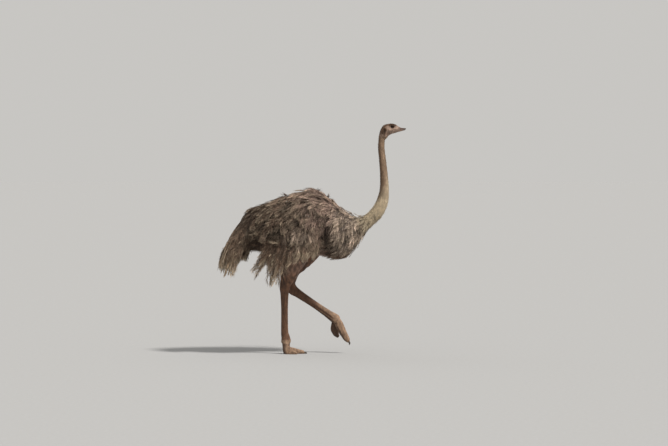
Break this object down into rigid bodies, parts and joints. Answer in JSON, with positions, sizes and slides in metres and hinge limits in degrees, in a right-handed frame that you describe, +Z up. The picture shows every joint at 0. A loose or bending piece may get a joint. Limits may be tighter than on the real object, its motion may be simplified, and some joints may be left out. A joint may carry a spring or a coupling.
{
  "type": "ostrich",
  "caption": "Female ostrich walking on one foot, the other lifted forwards: shaggy grey-brown plumage, long bare neck and legs.",
  "frame": {"origin": "on the sole of the standing right foot, at the floor, below the toe joint and in the bird's middle plane", "axes": "+Z up, +X the way the bird walks and looks, +Y the bird's left side, where the lifted leg is"},
  "size_m": [1.53, 0.5584, 1.894],
  "materials": {
    "body_feather": "loose grey-brown feathers, matt",
    "pale_plume": "long soft plumes with cream tips, matt",
    "neck_down": "short bristly down over skin, matt",
    "bare_skin": "bare brown skin, satin",
    "scaled_skin": "scaled leg skin, satin",
    "bill_horn": "horn, satin",
    "claw_horn": "dark horn, satin",
    "eye": "wet gloss"
  },
  "bodies": {
    "root": {"trunk": "body_feather", "tail": "pale_plume", "wing_right": "body_feather", "wing_left": "body_feather", "wing_plumes_right": "pale_plume", "wing_plumes_left": "pale_plume", "neck_lower": "neck_down", "neck_middle": "neck_down", "neck_upper": "neck_down", "head": "neck_down", "ear_right": "neck_down", "ear_left": "neck_down", "eye_right": "eye", "eye_left": "eye", "bill_upper": "bill_horn", "bill_lower": "bill_horn", "drumstick_right": "bare_skin", "drumstick_left": "bare_skin", "tarsus_right": "scaled_skin", "tarsus_left": "scaled_skin", "toe_inner_right": "scaled_skin", "toe_inner_left": "scaled_skin", "toe_outer_right": "scaled_skin", "toe_outer_left": "scaled_skin", "claw_right": "claw_horn", "claw_left": "claw_horn"}
  },
  "joints": []
}
